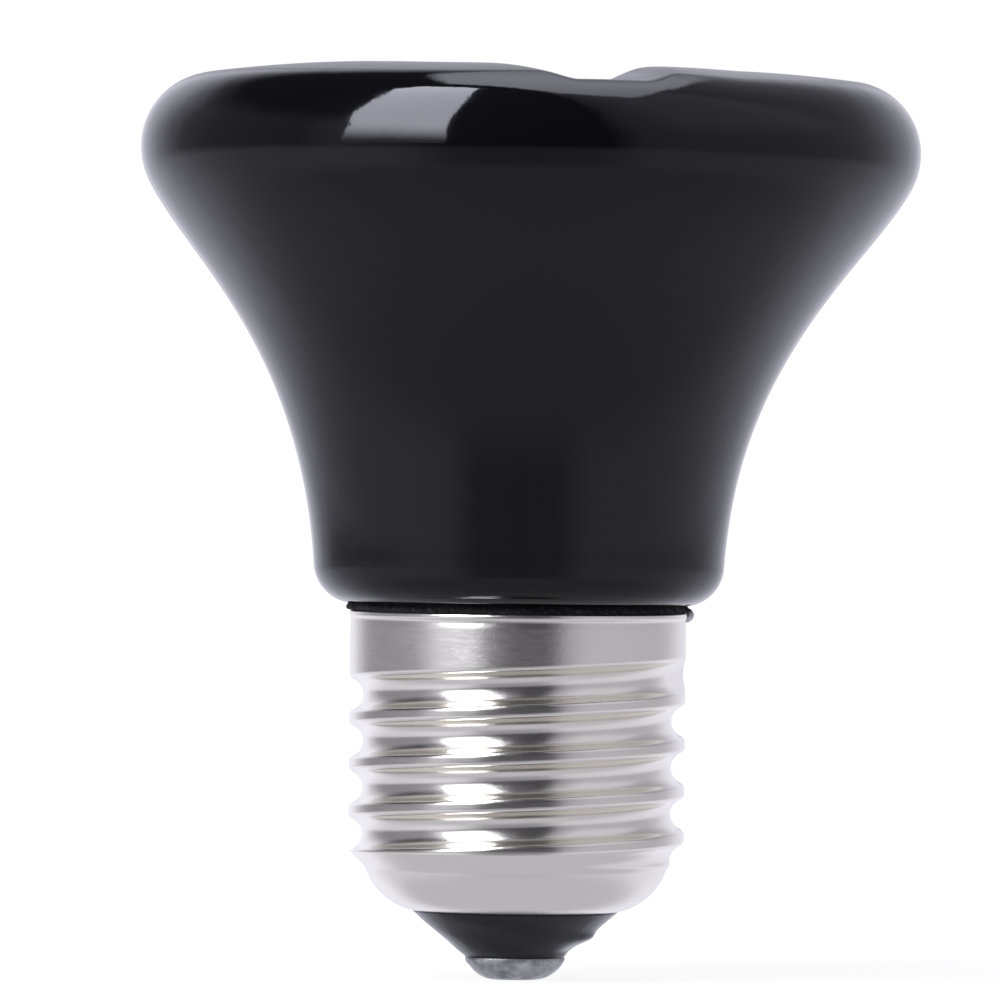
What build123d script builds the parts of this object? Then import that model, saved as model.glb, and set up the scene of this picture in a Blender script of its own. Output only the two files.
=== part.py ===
from build123d import *
from math import acos, asin, atan2, cos, degrees, pi, radians, sin, sqrt, tan
import os

# Ceramic heat emitter: a hollow glazed ceramic bell with a resistance coil cast
# into its face, cemented into a rolled screw cap. Millimetres, +Z up, with the
# origin at the tip of the centre contact.

# Heights up the axis, each one measured from the top of the piece below it
contact_height = 1.75
glass_height = 3.6
shell_height = 23.35
body_gap = 0.6
body_height = 42.0

# Screw shell, rolled from thin sheet
shell_wall = 0.25
crest_radius = 13.1
thread_depth = 1.08
thread_pitch = 3.63
thread_start = 0.305
thread_azimuth = -14.4
crest_round = 0.5
crest_land = 0.23
crest_overcut = 0.03
run_out_length = 7.0
least_skirt_height = 4.5
lead_in_height = 4.7
lead_in_drop = 1.4
dome_round = 5.0
shell_hole_radius = 8.0

# Glass insulator, centre contact and its solder
glass_rise = 3.4
glass_cup_depth = 1.2
cone_hollow = 0.12
contact_radius = 3.85
contact_plate = 0.7
contact_edge_round = 0.35
eyelet_radius = 0.85
eyelet_rise = 0.5
solder_radius = 3.3
solder_flat_radius = 1.6
solder_tip_angle = 50.0
solder_swell = 0.06

# Ceramic body, outside
cement_gap = 1.17
spigot_length = 9.0
spigot_chamfer = 0.6
base_round = 3.2
neck_radius = 16.03
neck_angle = 3.7
neck_pull = 16.85
flare_pull = 6.93
flare_angle = 27.4
rim_radius = 30.45
rim_round_under = 6.03
rim_round_over = 5.6
shoulder_angle = 82.7
crown_round = 102.0
dish_lip_round = 5.0
dish_angle = 45.0

# Notch across the raised ring
notch_azimuth = -76.5
notch_depth = 1.3
notch_floor_width = 3.8
notch_flank_angle = 32.0
notch_overcut = 0.15
notch_fall = 5.3

# Ceramic body, inside
spigot_wall = 3.2
bore_rise = 1.2
cavity_pull = 10.0
cavity_flare_pull = 8.0
cavity_flare_radius = 21.4
cavity_flare_angle = 35.0
cavity_round = 2.5
face_thickness = 4.6

# Heating coil, drawn as the rod that its fine turns fill
coil_ring_radius = 19.0
coil_cover = 2.6
coil_radius = 1.6
coil_gap_angle = 24.0
tail_radius = 0.45
tail_run = 2.0
tail_bend = 1.2
tail_reach = 2.5

# Leads with their sleeves, basing cement and side solder
lead_radius = 0.28
lead_clearance = 0.05
lead_step = 3.0
lead_waist_rise = 7.7
lead_waist_radius = 3.6
lead_bend = 3.0
lead_tight_bend = 1.4
rim_bend = 0.8
sleeve_wall = 0.45
sleeve_start = 0.3
cement_length = 7.6
cement_crown_inset = 0.25
side_joint_azimuth = 8.0
side_lead_drop = 1.8
side_solder_radius = 0.85

# Places that follow from the sizes
contact_top = contact_height
plate_bottom = contact_top - contact_plate
shell_bottom = contact_top + glass_height
rim_height = shell_bottom + shell_height
body_bottom = rim_height + body_gap
face_top = body_bottom + body_height
spigot_bottom = body_bottom - spigot_length

root_radius = crest_radius - thread_depth
skirt_inner_radius = crest_radius - shell_wall
spigot_radius = root_radius - shell_wall - cement_gap
bore_radius = spigot_radius - spigot_wall
thread_turns = int((shell_height - thread_start - least_skirt_height) / thread_pitch)
dome_centre_radius = root_radius - dome_round
dome_reach = shell_hole_radius - dome_centre_radius
dome_centre_height = shell_bottom + sqrt(dome_round**2 - dome_reach**2)
glass_top = shell_bottom + glass_rise

equator = (
    face_top
    - rim_round_over * sin(radians(shoulder_angle))
    - crown_round * (1 - sin(radians(shoulder_angle)))
)
crown_edge = rim_radius - rim_round_over * (1 - cos(radians(shoulder_angle)))
ring_crest_radius = crown_edge - crown_round * cos(radians(shoulder_angle))
dish_lip_radius = ring_crest_radius - dish_lip_round * sin(radians(dish_angle))
dish_bowl_round = dish_lip_radius / sin(radians(dish_angle))
dish_bottom = face_top - (dish_lip_round + dish_bowl_round) * (1 - cos(radians(dish_angle)))
cavity_top = dish_bottom - face_thickness

coil_height = face_top - coil_cover - coil_radius
tail_bottom = cavity_top - tail_reach
lead_waist_height = body_bottom + lead_waist_rise

os.makedirs("parts", exist_ok=True)


def heading(angle):
    """Unit vector in a radius and height sketch, leaning out from straight up."""
    return Vector(sin(radians(angle)), cos(radians(angle)))


def around(radius, azimuth, height):
    """Point at a radius, an azimuth in degrees and a height."""
    return Vector(radius * cos(radians(azimuth)), radius * sin(radians(azimuth)), height)


def radial_plane(azimuth, height=0.0):
    """Sketch plane through the axis: local X is the radius, local Y is up."""
    return Plane(
        origin=(0, 0, height), x_dir=around(1, azimuth, 0), z_dir=around(1, azimuth - 90, 0)
    )


# Screw shell: a domed cap with a rolled round thread, the same wall everywhere


def cap_form(inset, top):
    """Turned form of the cap, without its thread, at an inset from the outside."""
    barrel_radius = crest_radius - inset
    barrel_bottom = shell_bottom + lead_in_height + inset * tan(pi / 8)
    arc_radius = dome_round - inset
    hole_angle = degrees(acos(dome_reach / arc_radius))
    with BuildPart() as form:
        with BuildSketch(Plane.XZ):
            with BuildLine():
                dome = CenterArc(
                    (dome_centre_radius, dome_centre_height), arc_radius, -hole_angle, hole_angle
                )
                Polyline(dome @ 1, ((dome @ 1).X, top), (0, top), (0, (dome @ 0).Y), dome @ 0)
            make_face()
            with BuildLine():
                Polyline(
                    (0, barrel_bottom - lead_in_drop),
                    (barrel_radius - lead_in_drop, barrel_bottom - lead_in_drop),
                    (barrel_radius, barrel_bottom),
                    (barrel_radius, top),
                    (0, top),
                    close=True,
                )
            make_face()
        revolve(axis=Axis.Z)
    return form.part


valley_half_width = (thread_pitch - crest_land) / 2
valley_height = thread_depth + crest_overcut
flank_rounds = (valley_half_width**2 + valley_height**2) / (2 * valley_height)
flank_angle = degrees(2 * atan2(valley_height, valley_half_width))
thread_rise = thread_pitch / (2 * pi * root_radius)
groove_start = shell_bottom + thread_start
groove_end = groove_start + thread_pitch * thread_turns


def valley_outline(inset):
    """Round valley of the thread between two rounded crests, open outwards."""
    crest_centre_radius = root_radius + valley_height - crest_round
    crest_arc = crest_round - inset
    with BuildLine() as outline:
        lower = CenterArc((crest_centre_radius, -valley_half_width), crest_arc, 0, flank_angle)
        CenterArc(
            (root_radius + flank_rounds - crest_round, 0),
            flank_rounds - crest_round + inset,
            180 + flank_angle,
            -2 * flank_angle,
        )
        upper = CenterArc(
            (crest_centre_radius, valley_half_width), crest_arc, -flank_angle, flank_angle
        )
        Polyline(
            upper @ 1,
            (crest_radius + thread_depth, valley_half_width),
            (crest_radius + thread_depth, -valley_half_width),
            lower @ 0,
        )
    return outline.line


def thread_groove(inset):
    """Helical valley of the thread, turn by turn, leaving the cap along a tangent at its top."""
    start_plane = Plane(origin=(0, 0, groove_start), x_dir=around(1, thread_azimuth, 0))
    with BuildPart() as turn:
        with BuildLine(start_plane):
            Helix(pitch=thread_pitch, height=thread_pitch, radius=root_radius)
        with BuildSketch(radial_plane(thread_azimuth, groove_start)):
            add(valley_outline(inset))
            make_face()
        sweep(is_frenet=True)
    with BuildPart() as groove:
        with Locations([(0, 0, thread_pitch * step) for step in range(thread_turns)]):
            add(turn.part)
        with BuildSketch(radial_plane(thread_azimuth, groove_end)):
            add(valley_outline(inset))
            make_face()
        extrude(amount=run_out_length, dir=around(1, thread_azimuth + 90, thread_rise))
    return groove.part


with BuildPart() as shell_inside:
    add(cap_form(shell_wall, rim_height + shell_wall))
    add(thread_groove(shell_wall), mode=Mode.SUBTRACT)
    with BuildSketch(Plane.XY.offset(shell_bottom - shell_wall)):
        Circle(shell_hole_radius)
    extrude(amount=3 * shell_wall)

with BuildPart() as screw_shell:
    add(cap_form(0, rim_height))
    add(thread_groove(0), mode=Mode.SUBTRACT)
    add(shell_inside.part, mode=Mode.SUBTRACT)
screw_shell.part.label = "screw_shell"


# Glass insulator: fills the dome from inside and hangs below it as a cone

with BuildPart() as insulator:
    with BuildSketch(Plane.XZ):
        with BuildLine():
            hole_angle = degrees(acos(dome_reach / (dome_round - shell_wall)))
            top_angle = degrees(asin((dome_centre_height - glass_top) / (dome_round - shell_wall)))
            seat = CenterArc(
                (dome_centre_radius, dome_centre_height),
                dome_round - shell_wall,
                -hole_angle,
                hole_angle - top_angle,
            )
            cone_top = Vector(shell_hole_radius, shell_bottom)
            cone_bottom = Vector(contact_radius, contact_top)
            SagittaArc(cone_bottom, cone_top, cone_hollow)
            Line(cone_top, seat @ 0)
            Polyline(
                seat @ 1,
                (eyelet_radius, glass_top - glass_cup_depth),
                (eyelet_radius, contact_top),
                cone_bottom,
            )
        make_face()
    revolve(axis=Axis.Z)
insulator.part.label = "insulator"


# Centre contact: a plate with an eyelet up through the glass, soldered at the tip

with BuildPart() as centre_contact:
    with BuildSketch(Plane.XZ):
        with BuildLine():
            eyelet_bore = lead_radius + lead_clearance
            eyelet_top = glass_top - glass_cup_depth + eyelet_rise
            edge = JernArc(
                (contact_radius - contact_edge_round, plate_bottom), (1, 0), contact_edge_round, 90
            )
            Polyline(
                edge @ 1,
                (contact_radius, contact_top),
                (eyelet_radius, contact_top),
                (eyelet_radius, eyelet_top),
                (eyelet_bore, eyelet_top),
                (eyelet_bore, plate_bottom),
                edge @ 0,
            )
        make_face()
    revolve(axis=Axis.Z)
centre_contact.part.label = "centre_contact"


# Wires and sleeves


def tube_along(route, bends, radius, bore=0.0):
    """Wire, or sleeve with a bore, along straight runs joined by round bends."""
    with BuildPart() as tube:
        with BuildLine() as path:
            FilletPolyline(*route, radius=bends)
        with BuildSketch(Plane(origin=path.line @ 0, z_dir=path.line % 0)):
            Circle(radius)
            if bore > 0:
                Circle(bore, mode=Mode.SUBTRACT)
        sweep()
    return tube.part


def part_way(start, end, share):
    """Point a share of the way from one point to another."""
    return start + (end - start) * share


def foot_below(point, height):
    """Point straight below another, at a height."""
    return Vector(point.X, point.Y, height)


# Heating coil: a broken ring, with a tail down from each end

coil_starts = notch_azimuth + coil_gap_angle
coil_stops = notch_azimuth - coil_gap_angle
coil_ends = [
    (around(coil_ring_radius, coil_starts, coil_height), around(1, coil_starts - 90, 0)),
    (around(coil_ring_radius, coil_stops, coil_height), around(1, coil_stops + 90, 0)),
]

with BuildPart() as heating_coil:
    with BuildSketch(radial_plane(notch_azimuth + coil_gap_angle)):
        with Locations((coil_ring_radius, coil_height)):
            Circle(coil_radius)
    revolve(axis=Axis.Z, revolution_arc=360 - 2 * coil_gap_angle)
    for end, way in coil_ends:
        corner = end + way * tail_run
        add(tube_along([end, corner, foot_below(corner, tail_bottom)], tail_bend, tail_radius))
heating_coil.part.label = "heating_coil"


# Leads from the coil's tails: one to the contact, one over the shell's rim

side_tail, centre_tail = [foot_below(end + way * tail_run, tail_bottom) for end, way in coil_ends]
side_run_radius = (spigot_radius + root_radius - shell_wall) / 2
under_spigot = spigot_bottom - side_lead_drop
over_rim = rim_height + lead_radius
side_waist = around(lead_waist_radius, side_joint_azimuth, lead_waist_height)
side_turn = around(lead_waist_radius, side_joint_azimuth, under_spigot)
side_route = [
    side_tail,
    side_tail - Vector(0, 0, lead_step),
    side_waist,
    side_turn,
    around(side_run_radius, side_joint_azimuth, under_spigot),
    around(side_run_radius, side_joint_azimuth, rim_height - side_lead_drop),
    around(skirt_inner_radius - lead_radius, side_joint_azimuth, over_rim),
    around(crest_radius + lead_radius, side_joint_azimuth, over_rim),
]
side_bends = [lead_bend, lead_bend, lead_tight_bend, lead_tight_bend, lead_tight_bend, rim_bend]

centre_waist = around(lead_waist_radius, coil_stops, lead_waist_height)
centre_turn = around(lead_waist_radius, coil_stops, under_spigot)
centre_route = [
    centre_tail,
    centre_tail - Vector(0, 0, lead_step),
    centre_waist,
    centre_turn,
    Vector(0, 0, glass_top + lead_waist_radius),
    Vector(0, 0, plate_bottom / 2),
]
centre_bends = [lead_bend, lead_bend, lead_bend, lead_bend]

with BuildPart() as shell_lead:
    add(tube_along(side_route, side_bends, lead_radius))
shell_lead.part.label = "shell_lead"

with BuildPart() as centre_lead:
    add(tube_along(centre_route, centre_bends, lead_radius))
centre_lead.part.label = "centre_lead"


def sleeve_on(route, end):
    """Insulating sleeve from part way down a lead's slanting run to its end."""
    start = part_way(route[1], route[2], sleeve_start)
    bore = lead_radius + lead_clearance
    return tube_along([start, route[2], end], lead_bend, bore + sleeve_wall, bore)


with BuildPart() as shell_sleeve:
    add(sleeve_on(side_route, side_turn + Vector(0, 0, 2 * lead_tight_bend)))
shell_sleeve.part.label = "shell_sleeve"

with BuildPart() as centre_sleeve:
    add(sleeve_on(centre_route, centre_turn + Vector(0, 0, lead_bend)))
centre_sleeve.part.label = "centre_sleeve"


# Solder on the contact, over the end of the centre lead

with BuildPart() as contact_solder:
    with BuildSketch(Plane.XZ):
        with BuildLine():
            tip = JernArc((solder_flat_radius, 0), (1, 0), plate_bottom, solder_tip_angle)
            SagittaArc(tip @ 1, (solder_radius, plate_bottom), -solder_swell)
            Polyline((solder_radius, plate_bottom), (0, plate_bottom), (0, 0), tip @ 0)
        make_face()
    revolve(axis=Axis.Z)
    add(centre_lead.part, mode=Mode.SUBTRACT)
contact_solder.part.label = "contact_solder"


# Ceramic body: one casting with a hollow bell, a spigot and a broken raised ring

with BuildPart() as ceramic_body:
    with BuildSketch(Plane.XZ):
        with BuildLine():
            neck = Vector(
                neck_radius, body_bottom + base_round * (1 - sin(radians(neck_angle)))
            )
            base = JernArc(neck, heading(neck_angle) * -1, base_round, neck_angle - 90)
            flare_end = Vector(
                rim_radius - rim_round_under * (1 - cos(radians(flare_angle))),
                equator - rim_round_under * sin(radians(flare_angle)),
            )
            Bezier(
                neck,
                neck + heading(neck_angle) * neck_pull,
                flare_end - heading(flare_angle) * flare_pull,
                flare_end,
            )
            under = JernArc(flare_end, heading(flare_angle), rim_round_under, flare_angle)
            over = JernArc(under @ 1, (0, 1), rim_round_over, shoulder_angle)
            crown = JernArc(over @ 1, over % 1, crown_round, 90 - shoulder_angle)
            lip = JernArc(crown @ 1, (-1, 0), dish_lip_round, dish_angle)
            ThreePointArc(
                lip @ 1,
                Vector(0, dish_bottom + dish_bowl_round)
                - heading(-dish_angle / 2) * dish_bowl_round,
                (0, dish_bottom),
            )
            Polyline(
                (0, dish_bottom),
                (0, spigot_bottom),
                (spigot_radius - spigot_chamfer, spigot_bottom),
                (spigot_radius, spigot_bottom + spigot_chamfer),
                (spigot_radius, body_bottom),
                base @ 1,
            )
        make_face()
        with BuildLine():
            bore_top = Vector(bore_radius, body_bottom + bore_rise)
            flare_top = Vector(
                cavity_flare_radius,
                cavity_top - cavity_round * (1 + sin(radians(cavity_flare_angle))),
            )
            Bezier(
                bore_top,
                bore_top + heading(0) * cavity_pull,
                flare_top - heading(cavity_flare_angle) * cavity_flare_pull,
                flare_top,
            )
            corner = JernArc(
                flare_top, heading(cavity_flare_angle), cavity_round, 90 + cavity_flare_angle
            )
            Polyline(
                corner @ 1,
                (0, (corner @ 1).Y),
                (0, spigot_bottom),
                (bore_radius, spigot_bottom),
                bore_top,
            )
        make_face(mode=Mode.SUBTRACT)
    revolve(axis=Axis.Z)

    notch_plane = Plane(
        origin=(0, 0, face_top - notch_depth + ring_crest_radius * tan(radians(notch_fall))),
        x_dir=around(1, notch_azimuth + 90, 0),
        z_dir=around(1, notch_azimuth, -tan(radians(notch_fall))),
    )
    with BuildSketch(notch_plane):
        with BuildLine():
            notch_rise = notch_depth + notch_overcut
            notch_round = notch_rise / (2 * (1 - cos(radians(notch_flank_angle))))
            floor = Line((0, 0), (notch_floor_width / 2, 0))
            hollow = JernArc(floor @ 1, (1, 0), notch_round, notch_flank_angle)
            brow = JernArc(hollow @ 1, hollow % 1, notch_round, -notch_flank_angle)
            Polyline(brow @ 1, brow @ 1 + Vector(0, rim_round_over), (0, notch_rise + rim_round_over))
            mirror(about=Plane.YZ)
        make_face()
    extrude(amount=rim_radius + rim_round_over, mode=Mode.SUBTRACT)
    add(heating_coil.part, mode=Mode.SUBTRACT)
ceramic_body.part.label = "ceramic_body"


# Basing cement: fills the shell's skirt around the spigot, up to the body

with BuildPart() as basing_cement:
    plain_bottom = groove_end + valley_half_width + run_out_length * thread_rise
    with BuildSketch(Plane.XZ):
        with BuildLine():
            Polyline(
                (spigot_radius, body_bottom - cement_length),
                (root_radius - shell_wall, body_bottom - cement_length),
                (root_radius - shell_wall, plain_bottom),
                (skirt_inner_radius, plain_bottom),
                (skirt_inner_radius, rim_height),
                (skirt_inner_radius - cement_crown_inset, body_bottom),
                (spigot_radius, body_bottom),
                close=True,
            )
        make_face()
    revolve(axis=Axis.Z)
    add(shell_lead.part, mode=Mode.SUBTRACT)
basing_cement.part.label = "basing_cement"


# Side solder: a bead where the side lead lies over the rim

with BuildPart() as shell_solder:
    with Locations(around(crest_radius, side_joint_azimuth, rim_height)):
        Sphere(side_solder_radius)
    with BuildSketch(Plane.XZ):
        with BuildLine():
            Polyline(
                (0, 0),
                (crest_radius, 0),
                (crest_radius, rim_height),
                (skirt_inner_radius, rim_height),
                (skirt_inner_radius - cement_crown_inset, body_bottom),
                (2 * crest_radius, body_bottom),
                (2 * crest_radius, face_top),
                (0, face_top),
                close=True,
            )
        make_face()
    revolve(axis=Axis.Z, mode=Mode.SUBTRACT)
    add(shell_lead.part, mode=Mode.SUBTRACT)
shell_solder.part.label = "shell_solder"


for piece in (
    ceramic_body,
    heating_coil,
    shell_lead,
    centre_lead,
    shell_sleeve,
    centre_sleeve,
    basing_cement,
    screw_shell,
    insulator,
    centre_contact,
    contact_solder,
    shell_solder,
):
    export_step(piece.part, f"parts/{piece.part.label}.step")
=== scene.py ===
# %% [markdown]
# # A ceramic heat emitter
# A ceramic heat emitter looks like a lamp, but it gives no light. A resistance coil is cast
# into the thick rim of a glazed ceramic bell, and the bell is cemented into a rolled screw
# cap. The working model already gives every piece its place. Here each visible piece gets
# the surface that a maker would see: poured glaze, rolled nickel, fused glass and solder.

# %% Load the working model
import math

import bpy
import numpy as np
from mathutils import Matrix, Vector


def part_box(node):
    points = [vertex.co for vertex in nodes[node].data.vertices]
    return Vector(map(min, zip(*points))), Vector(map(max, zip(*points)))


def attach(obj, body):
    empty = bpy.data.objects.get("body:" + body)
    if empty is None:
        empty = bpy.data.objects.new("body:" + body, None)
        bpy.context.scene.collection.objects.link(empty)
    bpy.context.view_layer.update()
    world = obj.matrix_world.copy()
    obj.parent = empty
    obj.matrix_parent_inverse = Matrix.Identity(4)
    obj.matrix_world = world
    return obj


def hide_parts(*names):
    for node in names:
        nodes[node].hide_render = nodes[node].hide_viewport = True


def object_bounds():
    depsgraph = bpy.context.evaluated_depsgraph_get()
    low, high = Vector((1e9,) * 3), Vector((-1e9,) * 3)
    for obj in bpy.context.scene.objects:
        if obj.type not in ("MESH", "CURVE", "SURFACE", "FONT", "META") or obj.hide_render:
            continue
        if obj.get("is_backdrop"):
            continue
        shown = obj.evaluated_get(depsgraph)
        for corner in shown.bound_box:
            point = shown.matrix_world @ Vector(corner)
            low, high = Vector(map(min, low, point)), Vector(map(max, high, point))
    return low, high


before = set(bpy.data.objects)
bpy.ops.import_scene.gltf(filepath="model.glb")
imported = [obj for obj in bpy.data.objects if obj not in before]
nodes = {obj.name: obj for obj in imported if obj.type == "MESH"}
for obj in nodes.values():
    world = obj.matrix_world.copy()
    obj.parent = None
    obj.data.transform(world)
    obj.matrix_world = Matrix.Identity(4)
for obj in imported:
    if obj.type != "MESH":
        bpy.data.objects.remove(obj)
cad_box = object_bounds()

MM = 0.001
print("pieces in the working model:", len(nodes))

# %% [markdown]
# ## Camera
# The photograph was taken from about a metre away with a long lens, so the sides hardly
# converge. A perspective camera keeps that, with a lens worked out from how wide a slice of
# the world one frame shows. The emitter leans a little to the right in the picture, and a
# small roll of the camera gives the same lean without moving the model.

# %% Place the camera
photo_pixels = 1001
pixels_per_mm = 12.8
view_width = photo_pixels / pixels_per_mm * MM
camera_distance = 1.05
camera_height = 45.0 * MM
view_centre = Vector((-1.5, 0.0, 37.4)) * MM
picture_lean = math.radians(0.65)

camera_data = bpy.data.cameras.new("camera")
camera_data.sensor_width = 36.0
camera_data.lens = camera_data.sensor_width * camera_distance / view_width
camera = bpy.data.objects.new("camera", camera_data)
bpy.context.scene.collection.objects.link(camera)
camera.location = (view_centre.x, -camera_distance, camera_height)
aim = (view_centre - camera.location).to_track_quat("-Z", "Y").to_matrix()
camera.rotation_euler = (aim @ Matrix.Rotation(picture_lean, 3, "Z")).to_euler()
bpy.context.scene.camera = camera
bpy.context.scene.view_settings.view_transform = "Standard"
print("lens", round(camera_data.lens), "mm, one frame is", round(view_width / MM, 1), "mm wide")

# %% [markdown]
# ## Node trees written as maths
# Shader and geometry trees are long when every node is wired by hand. A small class wraps a
# socket, so that `a * b + 1` adds the Math nodes by itself. Every other node comes from one
# method, which takes the node's type, what goes into it and its settings. The nodes that
# come up again and again have short methods of their own.

# %% Wrap a socket
class Signal:
    """A node's output that Python's operators work on, one Math node each."""

    def __init__(self, graph, socket):
        self.graph = graph
        self.socket = socket

    def __add__(self, other):
        return self.graph.maths("ADD", self, other)

    def __radd__(self, other):
        return self.graph.maths("ADD", other, self)

    def __sub__(self, other):
        return self.graph.maths("SUBTRACT", self, other)

    def __rsub__(self, other):
        return self.graph.maths("SUBTRACT", other, self)

    def __mul__(self, other):
        return self.graph.maths("MULTIPLY", self, other)

    def __rmul__(self, other):
        return self.graph.maths("MULTIPLY", other, self)

    def __truediv__(self, other):
        return self.graph.maths("DIVIDE", self, other)

    def __abs__(self):
        return self.graph.maths("ABSOLUTE", self)

    def root(self):
        return self.graph.maths("SQRT", self.most(0.0))

    def least(self, other):
        return self.graph.maths("MINIMUM", self, other)

    def most(self, other):
        return self.graph.maths("MAXIMUM", self, other)


class Graph:
    """A node tree that grows by one node for each call."""

    def __init__(self, tree):
        self.tree = tree

    def node(self, kind, inputs=(), settings=(), output=0, stops=()):
        made = self.tree.nodes.new(kind)
        for name, value in dict(settings).items():
            setattr(made, name, value)
        for index, (place, colour) in enumerate(stops):
            elements = made.color_ramp.elements
            stop = elements[index] if index < len(elements) else elements.new(place)
            stop.position = place
            stop.color = colour
        pairs = inputs.items() if isinstance(inputs, dict) else enumerate(inputs)
        for key, value in pairs:
            if isinstance(value, Signal):
                self.tree.links.new(value.socket, made.inputs[key])
            else:
                made.inputs[key].default_value = value
        return Signal(self, made.outputs[output]) if made.outputs else made

    def maths(self, operation, *values):
        return self.node("ShaderNodeMath", values, {"operation": operation})

    def split(self, vector):
        """The x, y and z of a vector."""
        parts = self.tree.nodes.new("ShaderNodeSeparateXYZ")
        self.tree.links.new(vector.socket, parts.inputs[0])
        return [Signal(self, socket) for socket in parts.outputs]

    def place(self):
        """Where on its piece a point lies."""
        return self.node("ShaderNodeTexCoord", output="Object")

    def is_ray(self, kind):
        """1 for rays of one kind, such as Camera or Glossy."""
        return self.node("ShaderNodeLightPath", output=f"Is {kind} Ray")

    def ramp(self, value, start, end):
        """Smooth step: 0 up to start, 1 from end on."""
        limits = {"Value": value, "From Min": start, "From Max": end}
        return self.node("ShaderNodeMapRange", limits, {"interpolation_type": "SMOOTHSTEP"})

    def mix(self, factor, low, high):
        """Number between low and high."""
        return self.node("ShaderNodeMix", {0: factor, 2: low, 3: high})

    def mix_colour(self, factor, low, high):
        """Colour between low and high."""
        return self.node(
            "ShaderNodeMix", {0: factor, 6: low, 7: high}, {"data_type": "RGBA"}, output=2
        )

    def tones(self, value, stops):
        """Colour ramp over a value, from the places and colours of its stops."""
        return self.node("ShaderNodeValToRGB", {"Fac": value}, stops=stops)


print("node helpers ready")

# %% [markdown]
# ## Studio
# Black glaze and bright metal are mirrors: their look is the look of the room. So the room
# is built from what the rim shows. The photographer stands in the dark at the front, pale
# walls stand at the sides, and a lit white sweep closes the back. A wide softbox leans over
# from behind. Colour ramps hold how bright each part of the room is, all the way round.

# %% Light the room
world = bpy.data.worlds.new("studio")
world.use_nodes = True
world.node_tree.nodes.clear()
room = Graph(world.node_tree)
east, north, up = room.split(room.node("ShaderNodeTexCoord", output="Generated"))
compass = room.maths("ARCTAN2", east, 0.0 - north) / (2 * math.pi) + 0.5


def around(levels):
    """Brightness by compass angle in degrees: 0 is the front, and right is positive."""
    stops = [(angle / 360 + 0.5, (level, level, level, 1.0)) for angle, level in levels]
    return room.tones(compass, stops)


def climbing(start, end):
    """Smooth step over a range of elevations in degrees."""
    return room.ramp(up, math.sin(math.radians(start)), math.sin(math.radians(end)))


table_level = around(
    [(-180, 0.95), (-150, 1.0), (-135, 0.85), (-118, 0.7), (-95, 0.68), (-60, 0.8), (-42, 0.74),
     (-24, 0.34), (0, 0.3), (20, 0.34), (40, 0.68), (100, 0.74), (120, 0.8), (150, 0.9), (180, 0.95)]
)
wall_level = around(
    [(-180, 0.45), (-177, 0.5), (-172, 1.0), (-153, 0.95), (-143, 0.7), (-134, 0.5),
     (-127, 0.32), (-115, 0.26), (-72, 0.26), (-60, 0.5), (-30, 0.14), (-24, 0.06), (24, 0.05),
     (29, 0.2), (34, 0.38), (52, 0.5), (104, 0.47), (115, 0.48), (127, 0.56), (138, 0.74),
     (148, 0.82), (162, 0.9), (172, 0.92), (177, 0.5), (180, 0.45)]
)
ceiling_level = around(
    [(-180, 0.03), (-100, 0.03), (-60, 0.09), (-24, 0.05), (23, 0.04), (30, 0.36), (52, 0.66),
     (100, 0.64), (118, 0.38), (170, 0.34), (180, 0.1)]
)
under_level = 0.55
tabletop = room.mix(climbing(-45, -25), under_level, table_level)
right_half = room.ramp(east, -0.05, 0.05)
above_walls = room.mix(right_half, climbing(22, 41), climbing(12, 37))
upper_room = room.mix(above_walls, wall_level, ceiling_level)
plain_room = room.mix(climbing(-12, -3), tabletop, upper_room)
print("room tables ready")

# %% [markdown]
# The softbox behind is brightest near the zenith, where the lamp in it is closest. Its left
# and right edges are straight lines in the direction's east and up, and its front edge runs
# back on the left. Only mirrored rays see the room like this. The camera sees white, and
# everything else gets an even fill.

# %% Lean a softbox over from behind
left_edge = 0.17 - up * 0.362
right_edge = up * 0.46 - 0.105
front_edge = (0.1 - east).most(0.0) * 1.45 - 0.12


def beyond(value, edge, blur):
    """0 before an edge and 1 beyond it, with a smooth step as wide as the blur each way."""
    return room.ramp(value - edge, -blur, blur)


box_width = beyond(east, left_edge, 0.012) * (1.0 - beyond(east, right_edge, 0.02))
box_shape = box_width * beyond(north, front_edge, 0.03) * climbing(24, 29)
box_dimmest = 0.28
lamp_gain = 3.5
lamp_focus = 3.5
box_level = box_dimmest + room.maths("POWER", up.most(0.0), lamp_focus) * lamp_gain
shine = room.mix(box_shape, plain_room, box_level)

seen = room.is_ray("Camera")
fill_level = 0.5
white_level = 1.0
strength = room.mix(seen, room.mix(room.is_ray("Glossy"), fill_level, shine), white_level)
white = (1.0, 1.0, 1.0, 1.0)
cool = (0.95, 0.95, 1.09, 1.0)
tint = room.mix_colour(seen, cool, white)
background = room.node("ShaderNodeBackground", {"Color": tint, "Strength": strength})
room.node("ShaderNodeOutputWorld", {"Surface": background})
bpy.context.scene.world = world
print("room lit")

# %% [markdown]
# The main softbox is a flat card that glows at the front left. Its corners are given in
# metres around the emitter, because its mirror image on the rim is the most visible
# highlight of the whole picture. It fades towards its lower end, as a softbox lit from its
# upper half does.

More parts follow.
